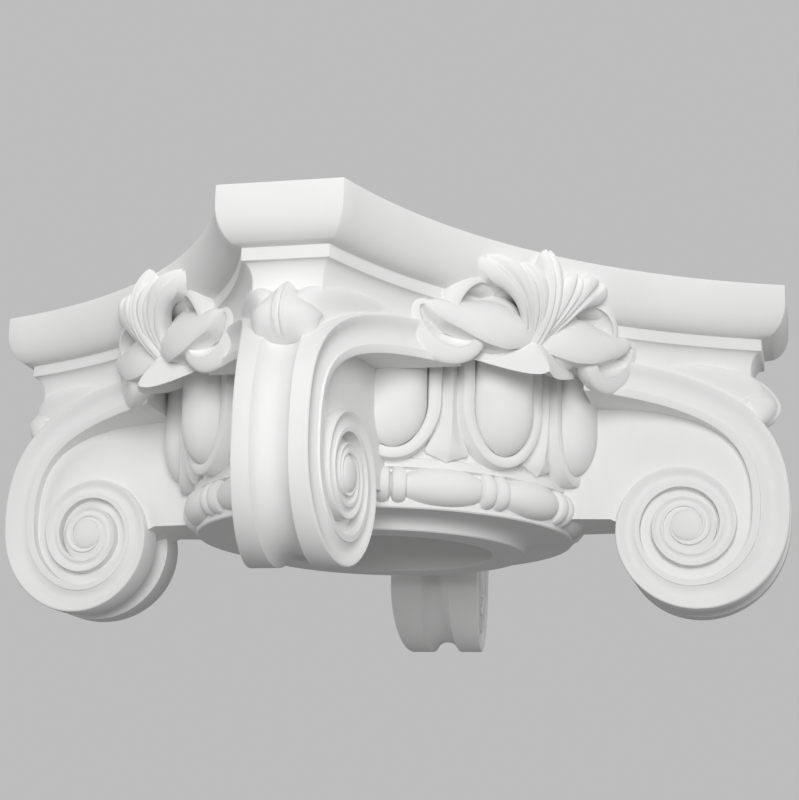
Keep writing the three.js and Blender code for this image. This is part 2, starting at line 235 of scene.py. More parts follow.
class StageLook(bpy.types.PropertyGroup):
    """The floor, the background and the lights."""

    floor: FloatVectorProperty(
        name="Floor", description="Colour of the floor", subtype="COLOR", size=3, default=(0.9, 0.9, 0.9))
    background: FloatProperty(
        name="Background", description="Grey of the background", default=0.509, subtype="FACTOR")
    ambient: FloatProperty(name="Ambient", description="Strength of the light all round", default=0.24)
    key_power: FloatProperty(
        name="Key Power", description="Power of the key light", default=16.5, unit="POWER")
    left_power: FloatProperty(
        name="Left Power", description="Power of the left fill light", default=5.5, unit="POWER")
    right_power: FloatProperty(
        name="Right Power", description="Power of the right fill light", default=4.5, unit="POWER")
    top_power: FloatProperty(
        name="Top Power", description="Power of the light above", default=20.0, unit="POWER")


def steps(start, end, count):
    """Evenly spaced values from start to end, both included."""
    return [start + (end - start) * i / count for i in range(count + 1)]


def full_turn(count):
    """Evenly spaced angles round a circle."""
    return [2 * math.pi * n / count for n in range(count)]


def smooth(value):
    """A soft step from 0 to 1."""
    value = min(1.0, max(0.0, value))
    return value * value * (3 - 2 * value)


def place_at(angle):
    """A place from its distance out along a direction, to the left of it, and its height."""
    turn = Matrix.Rotation(angle, 3, "Z")
    return lambda out, left, z: turn @ Vector((out, left, z))


def loft(bm, rings, hoop=False):
    """A skin over closed rings of points. Its ends are filled, or a hoop runs round into itself."""
    columns = len(rings[0])
    rows = len(rings) if hoop else len(rings) - 1
    made = bmesh.ops.create_grid(bm, x_segments=columns, y_segments=rows, size=0.5)["verts"]
    for vert in made:
        column = round((vert.co.x + 0.5) * columns) % columns
        row = round((vert.co.y + 0.5) * rows) % len(rings)
        vert.co = rings[row][column]
    bmesh.ops.remove_doubles(bm, verts=made, dist=WELD)
    rims = [edge for edge in bm.edges if edge.is_boundary]
    if rims:
        bmesh.ops.holes_fill(bm, edges=rims, sides=0)


def repeated(build, angles, *what):
    """Builds the same shells again in each direction."""
    def build_all(bm):
        for angle in angles:
            build(bm, place_at(angle), *what)
    return build_all


def add_form(name, build):
    """Keeps the closed shells that build makes as one form of the casting."""
    bm = bmesh.new()
    build(bm)
    bmesh.ops.recalc_face_normals(bm, faces=bm.faces[:])
    if not bm.faces or not all(edge.is_manifold for edge in bm.edges):
        raise RuntimeError(f"The form {name} is not closed")
    mesh = bpy.data.meshes.new(name)
    bm.to_mesh(mesh)
    bm.free()
    form = bpy.data.objects.new(name, mesh)
    forms = bpy.data.collections.get(FORMS)
    if forms is None:
        forms = bpy.data.collections.new(FORMS)
        bpy.context.scene.collection.children.link(forms)
    forms.objects.link(form)


def abacus_ring(sizes, inset, z):
    """The abacus's outline, moved in from its edge: four hollow sides and four cut corners."""
    half = (sizes.corner_reach - sizes.corner_width / 2) / math.sqrt(2)
    sagitta = (sizes.corner_reach + sizes.corner_width / 2) / math.sqrt(2) - sizes.side_reach
    side_radius = (half * half + sagitta * sagitta) / (2 * sagitta)
    centre = sizes.side_reach + side_radius
    radius = side_radius + inset
    cut = (sizes.corner_reach - inset) * math.sqrt(2) - centre
    left = (cut + math.sqrt(2 * radius * radius - cut * cut)) / 2
    sweep = math.asin(left / radius)
    ring = []
    for angle in QUARTERS:
        place = place_at(angle)
        for turn in steps(-sweep, sweep, 28):
            ring.append(place(centre - radius * math.cos(turn), radius * math.sin(turn), z))
    return ring


def abacus_profile(sizes):
    """The moulding from the top edge down: distance in from the edge, height."""
    quarter = steps(0, math.pi / 2, 9)
    fillet_step = 1.5 * MM
    fascia = HEIGHT - sizes.fascia
    points = [(0, HEIGHT), (0, fascia)]
    for a in quarter[1:]:
        points.append((sizes.ovolo_depth * (1 - math.cos(a)), fascia - sizes.ovolo_height * math.sin(a)))
    step_in = sizes.ovolo_depth + fillet_step
    step = fascia - sizes.ovolo_height
    points += [(step_in, step), (step_in, step - sizes.fillet)]
    hollow = step - sizes.fillet - sizes.cavetto_height
    for a in quarter[1:]:
        points.append((step_in + sizes.cavetto_depth * math.sin(a),
                       hollow + sizes.cavetto_height * math.cos(a)))
    points.append((step_in + sizes.cavetto_depth, hollow - sizes.neck))
    return points


def model_abacus(sizes):
    """The abacus with its moulding, its arrises a little worn."""
    def build(bm):
        loft(bm, [abacus_ring(sizes, inset, z) for inset, z in abacus_profile(sizes)])
        arrises = [edge for edge in bm.edges if edge.calc_face_angle(0) > ARRIS_TURN]
        bmesh.ops.bevel(bm, geom=arrises, offset=0.7 * MM, segments=2, profile=0.5,
                        affect="EDGES", material=-1, clamp_overlap=True)
    add_form("abacus", build)


def model_round_body(sizes):
    """The round body, turned from one profile: bore, spigot, seat and the bed of the rings."""
    worn, cove_width, cove_height = 0.8 * MM, 6 * MM, 5 * MM
    bore, spigot, seat = sizes.bore_radius, sizes.spigot_radius, sizes.seat_radius
    end, level = sizes.spigot_height, sizes.seat_height
    profile = [
        (0, sizes.bore_top),
        (bore, sizes.bore_top),
        (bore, end + worn),
        (bore + worn, end),
        (spigot - worn, end),
        (spigot, end + worn),
    ]
    for a in steps(0, math.pi / 2, 8):
        profile.append((spigot + cove_width * (1 - math.cos(a)),
                        level - cove_height + cove_height * math.sin(a)))
    # The seat, the bed of the beads, the fillet over it and the bed of the eggs
    profile += [
        (seat - worn, level),
        (seat, level + worn),
        (seat, level + 23 * MM),
        (seat + 3 * MM, level + 24 * MM),
        (seat + 3 * MM, level + 29 * MM),
        (seat + 1.5 * MM, level + 30 * MM),
        (seat + 5 * MM, sizes.top),
        (0, sizes.top),
    ]

    def build(bm):
        verts = [bm.verts.new((radius, 0, z)) for radius, z in profile]
        edges = [bm.edges.new(pair) for pair in zip(verts, verts[1:])]
        bmesh.ops.spin(bm, geom=verts + edges, cent=(0, 0, 0), axis=(0, 0, 1),
                       angle=2 * math.pi, steps=144, use_merge=True)
        bmesh.ops.remove_doubles(bm, verts=bm.verts[:], dist=WELD)
    add_form("round_body", build)


def egg_angles(sizes, offset):
    """The directions of the eggs, or half a space on, those of the darts."""
    return [(k + offset) * 2 * math.pi / sizes.count for k in range(sizes.count)]


def model_egg(bm, place, sizes, top):
    """A long egg: a rounded point below, straight sides above."""
    fullness, bluntness, taper = 2.1, 0.56, 0.04
    levels = []
    for a in steps(0.04, math.pi / 2, 14):
        down = max(0.0, math.cos(a))
        level = sizes.belly - (sizes.belly - sizes.bottom) * down
        levels.append((level, (1 - down ** fullness) ** bluntness))
    levels += [(sizes.belly + (top - sizes.belly) * k, 1 - taper * k) for k in steps(0, 1, 4)[1:]]
    rings = []
    for z, size in levels:
        rings.append([place(sizes.radius + sizes.depth * size * math.cos(b),
                            sizes.half_width * size * math.sin(b), z) for b in full_turn(32)])
    loft(bm, rings)


def model_shell(bm, place, sizes, top):
    """The raised rim of a shell: down one side of the egg, round below it and up the other."""
    foot, wall, crown, sunk = -9 * MM, 1.6 * MM, 1.9 * MM, 2 * MM
    wide = sizes.half_width + sizes.shell_gap
    drop = sizes.belly - sizes.bottom + 3.4 * MM
    stations = [(wide, z, 1, 0, 0) for z in steps(top, sizes.belly, 4)[:-1]]
    for a in steps(0, math.pi, 28):
        across, down = math.cos(a) / wide, math.sin(a) / drop
        size = math.hypot(across, down)
        left = wide * math.cos(a) * (1 - 0.04 * math.sin(2 * a) ** 2)
        stations.append((left, sizes.belly - drop * math.sin(a), across / size, -down / size, math.sin(a)))
    stations += [(-wide, z, -1, 0, 0) for z in steps(sizes.belly, top, 4)[1:]]
    rings = []
    for left, z, across, up, low in stations:
        half = sizes.shell_rim / 2 * (1 - 0.15 * low)
        section = [(-half, foot), (-half, wall)]
        section += [(half * math.sin(b), wall + crown * math.cos(b))
                    for b in steps(-math.pi / 2, math.pi / 2, 6)[1:-1]]
        section += [(half, wall), (half, foot)]
        rings.append([place(sizes.radius - sunk + out, left + off * across, z + off * up)
                      for off, out in section])
    loft(bm, rings)


# Height, half width and ridge of a dart in millimetres, from its point up
DART_PROFILE = [
    (75.8, 0.3, 0.8),
    (78.2, 5.5, 3.0),
    (80.6, 12.4, 4.6),
    (82.4, 13.6, 5.4),
    (86.0, 12.0, 6.5),
    (91.0, 9.8, 7.6),
    (97.0, 8.2, 8.4),
    (105.0, 7.2, 9.0),
    (115.0, 6.8, 9.4),
    (147.0, 6.8, 9.6),
]


def model_dart(bm, place, sizes):
    """A ridged dart that widens downwards to two barbs and ends in a point."""
    face = sizes.radius - 6.5 * MM
    rings = []
    for z, half, ridge in DART_PROFILE:
        section = [(-9, 0.97), (0, 1), (0.52 * ridge, 0.5), (0.94 * ridge, 0.1), (ridge, 0)]
        ring = [place(face + out * MM, share * half * MM, z * MM) for out, share in section]
        ring += [place(face + out * MM, -share * half * MM, z * MM) for out, share in section[-2::-1]]
        rings.append(ring)
    loft(bm, rings)


def model_egg_ring(sizes, body):
    """The ring of eggs, their shells and the darts between them."""
    hidden = 6 * MM
    add_form("eggs", repeated(model_egg, egg_angles(sizes, 0), sizes, body.top + hidden))
    add_form("shells", repeated(model_shell, egg_angles(sizes, 0), sizes, body.top))
    add_form("darts", repeated(model_dart, egg_angles(sizes, 0.5), sizes))


def bead_swell(sizes):
    """Thickness of the ring over one bead and the reel on each side: share of the repeat, radius."""
    bead_end, reel_at, reel_half, gap = 0.35, 0.427, 0.062, 0.008
    reel_round, bead_slope = 2.4 * MM, 0.58
    reel = []
    for a in steps(-math.pi / 2, math.pi / 2, 6):
        reel.append((reel_half * math.sin(a), sizes.reel - reel_round * (1 - math.cos(a))))
    swell = [(-0.5, sizes.thread)]
    swell += [(share - reel_at, radius) for share, radius in reel]
    swell.append((-bead_end - gap, sizes.thread))
    for a in steps(-math.pi / 2, math.pi / 2, 16):
        share = math.sin(a)
        swell.append((bead_end * share, sizes.bead * math.sqrt(1 - bead_slope * share * share)))
    swell.append((bead_end + gap, sizes.thread))
    swell += [(share + reel_at, radius) for share, radius in reel]
    return swell


def model_bead_ring(sizes, eggs):
    """The ring of beads under the darts, with two reels between each pair."""
    pitch = 2 * math.pi / eggs.count
    rings = []
    for middle in egg_angles(eggs, 0.5):
        for share, thick in bead_swell(sizes):
            place = place_at(middle + share * pitch)
            rings.append([place(sizes.radius + thick * math.cos(a), 0, sizes.height + thick * math.sin(a))
                          for a in full_turn(20)])
    add_form("beads_and_reels", lambda bm: loft(bm, rings, hoop=True))


# A fin's upper edge, from the eye: its inner end, and the two points that draw its curve
BAND_END = Vector((-62, 97)) * MM
BAND_PULL = Vector((45, 100)) * MM
SPIRAL_PULL = Vector((67, 55)) * MM
# How a fin thickens towards the axis, and how its bands swing out to the fleurons
FACE_SPLAY = 0.11
BAND_RISE = 46 * MM
RISE_POWER = 4.7
# Where the bands start, and where the hollow of the edge starts and how far it takes to deepen
BAND_START = -0.985
HOLLOW_START, HOLLOW_RUN = -0.85, 0.35
# The web behind a volute: its inner end, the end of its level underside, its bottom and its top
WEB_ROOT, WEB_FRONT = 100 * MM, 150 * MM
WEB_BOTTOM, WEB_TOP = 56 * MM, 146 * MM


class Volute:
    """The lines of one fin: where its edge runs, how wide its band is and how thick it is."""

    def __init__(self, sizes):
        self.sizes = sizes
        # A quarter turn on from the eye's side, the edge touches the ground
        self.eye_height = sizes.spiral_radius * sizes.turn_ratio ** 0.25

    def edge(self, turn):
        """Reach, height, facing and band width. Turn is -1 at the fleuron and 0 beside the eye."""
        sizes = self.sizes
        if turn < 0:
            t = turn + 1
            a, b, c, d = BAND_END, BAND_PULL, SPIRAL_PULL, Vector((sizes.spiral_radius, 0))
            p = a * (1 - t) ** 3 + b * 3 * t * (1 - t) ** 2 + c * 3 * t * t * (1 - t) + d * t ** 3
            along = ((b - a) * (1 - t) ** 2 + (c - b) * 2 * t * (1 - t) + (d - c) * t * t).normalized()
            return sizes.eye_reach + p.x, self.eye_height + p.y, -along.y, along.x, sizes.band_width
        radius = sizes.spiral_radius * sizes.turn_ratio ** turn
        angle = turn * 2 * math.pi
        lean = angle - math.atan(math.log(sizes.turn_ratio) / (2 * math.pi))
        reach = sizes.eye_reach + radius * math.cos(angle)
        height = self.eye_height - radius * math.sin(angle)
        blend = smooth(turn / 0.3)
        width = sizes.band_width * (1 - blend) + radius * sizes.band_share * blend
        return reach, height, math.cos(lean), -math.sin(lean), width

    def half(self, reach):
        """Half the thickness of the fin."""
        return self.sizes.half_thickness + (self.sizes.eye_reach - reach) * FACE_SPLAY

    def on_face(self, place, turn, side, rise):
        """Places points on one face by their share of the band and their depth below the face."""
        reach, height, out, up, width = self.edge(turn)

        def point(share, sunk):
            u = reach - out * width * share
            return place(u, side * (self.half(u) + rise - sunk), height - up * width * share)
        return point


def band_section(sizes, width):
    """The band from its outer edge inwards: share of its width, depth below the face."""
    scale = min(1.0, (width / sizes.band_width) ** 0.6)
    section = [(0, 1.1 * MM * scale), (0.02, 0.4 * MM * scale), (0.06, 0)]
    for k in steps(0, 1, 12)[1:]:
        section.append((0.1 + 0.67 * k, sizes.channel * scale * math.sin(math.pi * k * 0.86) ** 1.25))
    section += [(0.785, 0), (0.97, 0), (1, 0.4 * MM * scale)]
    return section


def model_outer_turn(bm, place, volute):
    """A fin's outer turn with its hollow edge, and the bands that swing out to the fleurons."""
    sizes = volute.sizes
    rings = []
    for turn in steps(BAND_START, 0, 30)[:-1] + steps(0, 1, 72):
        reach, height, out, up, width = volute.edge(turn)
        rise = BAND_RISE * (-turn) ** RISE_POWER if turn < 0 else 0
        hollow = sizes.edge_channel * smooth((turn - HOLLOW_START) / HOLLOW_RUN)
        channel = []
        for k in steps(-1, 1, 14):
            depth = hollow * (1 - k * k) ** 0.75
            channel.append(place(reach - out * depth, -k * sizes.edge_half, height - up * depth))
        section = band_section(sizes, width)
        near = [volute.on_face(place, turn, 1, rise)(*p) for p in section]
        far = [volute.on_face(place, turn, -1, rise)(*p) for p in section]
        rings.append(near[::-1] + channel + far)
    loft(bm, rings)


def model_inner_turns(bm, place, volute, side):
    """The inner turns of the spiral, raised on one face of a fin."""
    sizes = volute.sizes
    root = sizes.panel + 2 * MM
    rings = []
    for turn in steps(0.92, sizes.turns, 104):
        width = volute.edge(turn)[4]
        point = volute.on_face(place, turn, side, 0)
        section = [(0, root)] + band_section(sizes, width) + [(1, root)]
        rings.append([point(*p) for p in section])
    loft(bm, rings)


def model_eye(bm, place, volute, side):
    """The domed eye that closes the spiral, on a low boss that carries the last turn."""
    sizes = volute.sizes
    boss, foot = 18 * MM, 9 * MM
    profile = [(0.5 * MM, foot), (boss, foot), (boss, 4 * MM), (boss - 2 * MM, 2.6 * MM)]
    for a in steps(0, math.pi / 2, 8):
        profile.append((max(0.4 * MM, sizes.eye_radius * math.cos(a)), 1.2 * MM - 3.6 * MM * math.sin(a)))
    rings = []
    for radius, sunk in profile:
        ring = []
        for a in full_turn(36):
            reach = sizes.eye_reach + radius * math.cos(a)
            height = volute.eye_height + radius * math.sin(a)
            ring.append(place(reach, side * (volute.half(reach) - sunk), height))
        rings.append(ring)
    loft(bm, rings)


def model_web(bm, place, volute):
    """The sunk panel: a web from the round body out into the volute."""
    sizes = volute.sizes
    under_band = 0.55
    outline = [(WEB_ROOT, WEB_BOTTOM), (WEB_FRONT, WEB_BOTTOM)]
    for turn in steps(0.5, 0, 12) + steps(-0.05, -0.8, 15):
        reach, height, out, up, width = volute.edge(turn)
        outline.append((reach - out * width * under_band, height - up * width * under_band))
    outline += [(sizes.eye_reach + BAND_END.x, WEB_TOP), (WEB_ROOT, WEB_TOP)]
    rings = []
    for side in (-1, 1):
        rings.append([place(reach, side * (volute.half(reach) - sizes.panel), z) for reach, z in outline])
    loft(bm, rings)


def on_both_faces(build):
    """Builds the same shell on each face of a fin."""
    def build_both(bm, place, volute):
        for side in (-1, 1):
            build(bm, place, volute, side)
    return build_both


def model_volutes(sizes):
    """The four corner volutes: panels, fins, spirals and eyes."""
    volute = Volute(sizes)
    add_form("volute_panels", repeated(model_web, CORNERS, volute))
    add_form("volute_fins", repeated(model_outer_turn, CORNERS, volute))
    add_form("volute_spirals", repeated(on_both_faces(model_inner_turns), CORNERS, volute))
    add_form("volute_eyes", repeated(on_both_faces(model_eye), CORNERS, volute))


def bud_outline(k):
    """Top and front of a bud across its width, from -1 to 1: a point with a double rib below it."""
    k = abs(k)
    ridges = math.exp(-((k - 0.1) / 0.07) ** 2) - 0.5 * math.exp(-(k / 0.05) ** 2)
    top = 3 * MM + 19 * MM * max(0.0, 1 - k) ** 1.25
    front = 17 * MM * math.sqrt(max(0.0, 1 - 0.85 * k * k)) + 1.8 * MM * ridges
    return top, front


def model_bud(bm, place, sizes):
    """A pointed bud over the volute's edge."""
    below, behind = 15 * MM, 24 * MM
    rings = []
    for k in steps(-1, 1, 48):
        top, front = bud_outline(k)
        narrow = math.sqrt(max(0.0, 1 - k ** 6)) + 0.02
        ring = []
        for a in full_turn(32):
            rise = (top if a <= math.pi else below) * math.sin(a)
            out = (front if math.cos(a) > 0 else behind) * math.cos(a)
            lean = 0.3 * max(0.0, rise)
            taper = 1 - 0.07 * max(0.0, -math.sin(a)) ** 2
            ring.append(place(sizes.bud_reach + out * narrow - lean,
                              sizes.bud_half * k * taper, sizes.bud_height + rise * narrow))
        rings.append(ring)
    loft(bm, rings)


def model_bud_lobe(bm, place, sizes, side):
    """The leaf behind one side of a bud, laid back along the volute's top under the abacus."""
    squareness, flare, climb = 0.72, 0.5, 0.14
    length, set_back, spread = 34 * MM, 24 * MM, 23.5 * MM
    level, half_height = 139 * MM, 15.5 * MM
    ball = bmesh.ops.create_uvsphere(bm, u_segments=32, v_segments=18, radius=1)["verts"]
    for vert in ball:
        x, z, y = (math.copysign(abs(part) ** squareness, part) for part in vert.co)
        taper = 1 - 0.2 * (x + 1)
        back = length * x
        aside = spread + flare * back + (9.5 * z + 5.5 * y) * MM * taper
        height = level + climb * back + half_height * y * taper
        vert.co = place(sizes.bud_reach - set_back - back, side * aside, height)


def model_buds(sizes):
    """The four corner buds, each with a leaf on both sides."""
    add_form("corner_buds", repeated(model_bud, CORNERS, sizes))
    add_form("bud_lobes_left", repeated(model_bud_lobe, CORNERS, sizes, 1))
    add_form("bud_lobes_right", repeated(model_bud_lobe, CORNERS, sizes, -1))


def double_rib(k):
    """Height of a leaf across its width, from -1 to 1: two ribs with a groove between them."""
    return math.sqrt(max(0.0, 1 - k * k)) * (1 - 0.5 * math.exp(-(k / 0.2) ** 2))


def soft_crown(k):
    """Height of a smooth leaf across its width."""
    return max(0.0, 1 - k * k) ** 0.75


def bent(*knots):
    """A curve from the first knot to the last, drawn towards those between. Knots are in millimetres."""
    knots = [Vector(knot) * MM for knot in knots]

    def at(t):
        points = knots
        while len(points) > 1:
            points = [p.lerp(q, t) for p, q in zip(points, points[1:])]
        return points[0]
    return at


def model_leaf(bm, place, side, spine, across, half, crown, back, section, rows=28, columns=18):
    """A leaf along a spine of left, height and reach. Across points over its width from edge to edge,
    half is half that width along its length, and section shapes its face.
    """
    rings = []
    for t in steps(0, 1, rows):
        run = (spine(min(1, t + 0.01)) - spine(max(0, t - 0.01))).normalized()
        wide = across(t)
        wide = (wide - run * wide.dot(run)).normalized()
        face = wide.cross(run)
        width = half(t)
        ring = [spine(t) + wide * width * k + face * crown * min(1, width / crown) * section(k)
                for k in steps(-1, 1, columns)]
        ring += [spine(t) + wide * width * k - face * back for k in (0.8, 0, -0.8)]
        rings.append([place(p.z, side * p.x, p.y) for p in ring])
    loft(bm, rings)


def leaf_width(widest, root, round_from):
    """Half the width of a leaf along its length: it swells from its root and ends in a blunt point."""
    def at(t):
        end = max(0.0, (t - round_from) / (1 - round_from))
        return widest * MM * (root + (1 - root) * smooth(t / 0.8)) * max(0.03, 1 - end ** 1.8) ** 0.6
    return at


def model_middle_leaf(bm, place):
    """The tall middle leaf that stands up to the abacus's top edge."""
    spine = bent((0, 141, 157), (0, 158, 190), (0, 182, 188), (0, 198.8, 173.2))
    model_leaf(bm, place, 1, spine, lambda t: Vector((1, 0, 0)), leaf_width(6.3, 0.6, 0.9),
               4.5 * MM, 11 * MM, double_rib)


def model_inner_leaf(bm, place, side):
    """The upright leaf beside the middle one."""
    spine = bent((1, 144, 160), (8, 172, 195), (21.5, 186, 175))
    model_leaf(bm, place, side, spine, lambda t: Vector((1, 0, -0.25)), leaf_width(8.2, 0.4, 0.72),
               5 * MM, 10 * MM, double_rib)


def model_outer_leaf(bm, place, side):
    """The leaf that bends furthest out over the abacus's edge."""
    spine = bent((3, 144, 160), (18, 180, 196), (48, 187, 164))
    model_leaf(bm, place, side, spine, lambda t: Vector((1, 0, -0.45)), leaf_width(9.6, 0.4, 0.75),
               5.5 * MM, 10 * MM, double_rib)


def model_side_leaf(bm, place, side):
    """The broad smooth leaf that swells out beside the root and runs sideways into its cupped end."""
    spine = bent((-3, 149, 157), (18, 150, 176), (44, 151, 167), (62, 153, 164), (77, 159, 158.5))

    def half(t):
        swell = 6.5 + 8 * smooth(t / 0.35) - 6 * smooth((t - 0.4) / 0.35)
        return swell * MM * max(0.12, 1 - max(0.0, (t - 0.7) / 0.3) ** 1.6)
    model_leaf(bm, place, side, spine, lambda t: Vector((0, -1, 0.5 * t)), half,
               5 * MM, 12 * MM, soft_crown, rows=36, columns=22)


def model_root(bm, place, side):
    """The soft swelling that one side's leaves grow from, between the fan and the tongue."""
    reach, aside, level = 156, 23, 152
    depth, half, above, below = 14, 20, 20, 18
    ball = bmesh.ops.create_uvsphere(bm, u_segments=28, v_segments=18, radius=1)["verts"]
    for vert in ball:
        x, y, z = vert.co
        height = level + (above if y > 0 else below) * y
        vert.co = place((reach + depth * z) * MM, side * (aside + half * x) * MM, height * MM)


def model_bowl(bm, place, side, centre, along, opening, outer, hollow, lip, point):
    """A cupped leaf end in millimetres. Outer and hollow give how far the outside and the hollow reach
    along, up, down and behind, lip is the height of the rim, and point draws out the far end.
    """
    centre = Vector(centre) * MM
    opening = Vector(opening).normalized()
    along = Vector(along)
    along = (along - opening * along.dot(opening)).normalized()
    over = opening.cross(along)

    def ring(far, up, down, ahead):
        points = []
        for a in full_turn(36):
            drawn = 1 + point * max(0.0, math.cos(a)) ** 6 * (ahead > 0)
            p = (along * far * drawn * math.cos(a) + over * (up if math.sin(a) > 0 else down) * math.sin(a)
                 + opening * ahead)
            p = centre + p * MM
            points.append(place(p.z, side * p.x, p.y))
        return points

    rings = []
    *reaches, deep = outer
    for a in steps(0.01, math.pi / 2, 8):
        rings.append(ring(*(reach * math.sin(a) for reach in reaches), -deep * math.cos(a)))
    for a in steps(0, math.pi / 2, 7)[1:]:
        rim = [inside + (outside - inside) * math.cos(a) for inside, outside in zip(hollow, reaches)]
        rings.append(ring(*rim, lip * math.sin(a)))
    *reaches, deep = hollow
    for a in steps(math.pi / 2, 0.01, 10)[1:]:
        rings.append(ring(*(reach * math.sin(a) for reach in reaches), lip - deep * math.cos(a)))
    loft(bm, rings)


def model_curl(bm, place, side):
    """The leaf whose end curls forwards beside the outer leaf."""
    model_bowl(bm, place, side, (44, 165, 156.5), (0.9, -0.2, -0.1), (-0.32, -0.42, 0.83),
               (20, 17.5, 17.5, 9), (15, 13.5, 13.5, 9), 9, 0.05)


def model_cup(bm, place, side):
    """The cupped end of a side leaf, with a pointed far lip and a thick wall below."""
    model_bowl(bm, place, side, (59, 147, 160.5), (0.868, 0.461, -0.183), (0.28, -0.15, 0.95),
               (25, 8, 22, 20), (17.5, 6.5, 11.5, 11), 3.5, 0.15)


def model_tongue(bm, place, sizes):
    """The smooth tongue that droops from the root over the middle egg."""
    length, above, below, side_drop, narrowing = 26.5 * MM, 9 * MM, 3 * MM, 15 * MM, 0.8
    ball = bmesh.ops.create_uvsphere(bm, u_segments=44, v_segments=24, radius=1)["verts"]
    for vert in ball:
        x, y, z = vert.co
        ahead = max(0.0, z)
        drop = sizes.tongue_drop * ahead ** 1.3 + side_drop * abs(x) ** 1.4
        aside = sizes.tongue_half * x * (1 - narrowing * ahead)
        vert.co = place(sizes.tongue_tip - length + length * z, aside,
                        sizes.tongue_height - drop + (above if y > 0 else below) * y)


def model_fleurons(sizes):
    """The four side fleurons: a middle leaf, a tongue and, on each side, leaves, a curl and a cup."""
    add_form("fleuron_middle_leaf", repeated(model_middle_leaf, QUARTERS))
    add_form("fleuron_tongue", repeated(model_tongue, QUARTERS, sizes))
    pairs = {
        "inner_leaf": model_inner_leaf,
        "outer_leaf": model_outer_leaf,
        "curl": model_curl,
        "side_leaf": model_side_leaf,
        "cup": model_cup,
        "root": model_root,
    }
    for side, hand in ((1, "left"), (-1, "right")):
        for name, build in pairs.items():
            add_form(f"fleuron_{name}_{hand}", repeated(build, QUARTERS, side))


def plaster_material(look):
    """Matt white plaster: a faint cloudy tone, a chalky grain and the slight waviness of handwork."""
    material = bpy.data.materials.new("cast_plaster")
    material.use_nodes = True
    nodes, links = material.node_tree.nodes, material.node_tree.links
    shader = nodes["Principled BSDF"]
    shader.inputs["Specular IOR Level"].default_value = 0.25
    coords = nodes.new("ShaderNodeTexCoord")

    def noise(scale, detail):
        node = nodes.new("ShaderNodeTexNoise")
        node.inputs["Scale"].default_value = scale
        node.inputs["Detail"].default_value = detail
        links.new(coords.outputs["Object"], node.inputs["Vector"])
        return node.outputs["Fac"]

    clouds, grain, handwork = noise(14.0, 4.0), noise(900.0, 3.0), noise(70.0, 2.0)

    tone = nodes.new("ShaderNodeMix")
    tone.data_type = "RGBA"
    tone.inputs["A"].default_value = (*look.white, 1)
    tone.inputs["B"].default_value = (*look.shade, 1)
    dull = nodes.new("ShaderNodeMapRange")
    dull.inputs["From Min"].default_value = 0.5
    dull.inputs["From Max"].default_value = 0.85
    links.new(clouds, dull.inputs["Value"])
    links.new(dull.outputs["Result"], tone.inputs["Factor"])
    links.new(tone.outputs["Result"], shader.inputs["Base Color"])

    rough = nodes.new("ShaderNodeMapRange")
    rough.inputs["To Min"].default_value = look.roughness - 0.08
    rough.inputs["To Max"].default_value = look.roughness + 0.12
    links.new(grain, rough.inputs["Value"])
    links.new(rough.outputs["Result"], shader.inputs["Roughness"])

    surface = nodes.new("ShaderNodeMath")
    surface.operation = "MULTIPLY_ADD"
    surface.inputs[1].default_value = 0.35
    links.new(grain, surface.inputs[0])
    links.new(handwork, surface.inputs[2])
    bump = nodes.new("ShaderNodeBump")
    bump.inputs["Strength"].default_value = look.grain
    bump.inputs["Distance"].default_value = 1.0 * MM
    links.new(surface.outputs["Value"], bump.inputs["Height"])
    links.new(bump.outputs["Normal"], shader.inputs["Normal"])
    return material


def keep_outer_shell(mesh):
    """Fills the small closed voids that the joined forms leave inside the casting."""
    bm = bmesh.new()
    bm.from_mesh(mesh)
    shells, seen = [], set()
    for first in bm.verts:
        if first in seen:
            continue
        seen.add(first)
        shell = [first]
        for vert in shell:
            for edge in vert.link_edges:
                other = edge.other_vert(vert)
                if other not in seen:
                    seen.add(other)
                    shell.append(other)
        shells.append(shell)
    outer = max(shells, key=len)
    voids = [vert for shell in shells if shell is not outer for vert in shell]
    bmesh.ops.delete(bm, geom=voids, context="VERTS")
    bm.to_mesh(mesh)
    bm.free()


def cast_in_one(name):
    """Joins every form of the capital into one closed casting."""
    if FORMS not in bpy.data.collections:
        raise RuntimeError("There are no forms to cast: model them first")
    forms = list(bpy.data.collections[FORMS].objects)
    casting = bpy.data.objects.new(name, forms[0].data.copy())
    bpy.context.scene.collection.objects.link(casting)
    for form in forms[1:]:
        join = casting.modifiers.new(form.name, "BOOLEAN")
        join.operation = "UNION"
        join.solver = "MANIFOLD"
        join.object = form
    graph = bpy.context.evaluated_depsgraph_get()
    mesh = bpy.data.meshes.new_from_object(casting.evaluated_get(graph))
    casting.modifiers.clear()
    casting.data = mesh
    mesh.name = name
    keep_outer_shell(mesh)
    for form in forms:
        bpy.data.objects.remove(form)
    bpy.data.collections.remove(bpy.data.collections[FORMS])
    return casting


class CAPITAL_OT_abacus(bpy.types.Operator):
    """Model the abacus with its hollow sides and mouldings"""

    bl_idname = "capital.abacus"
    bl_label = "Abacus"

    def execute(self, context):
        model_abacus(context.scene.capital_abacus)
        return {"FINISHED"}


class CAPITAL_OT_round_body(bpy.types.Operator):
    """Model the round body with its seat, spigot and bore"""

    bl_idname = "capital.round_body"
    bl_label = "Round Body"

    def execute(self, context):
        model_round_body(context.scene.capital_body)
        return {"FINISHED"}


class CAPITAL_OT_egg_ring(bpy.types.Operator):
    """Model the eggs, their shells and the darts between them"""

    bl_idname = "capital.egg_ring"
    bl_label = "Eggs and Darts"

    def execute(self, context):
        model_egg_ring(context.scene.capital_eggs, context.scene.capital_body)
        return {"FINISHED"}


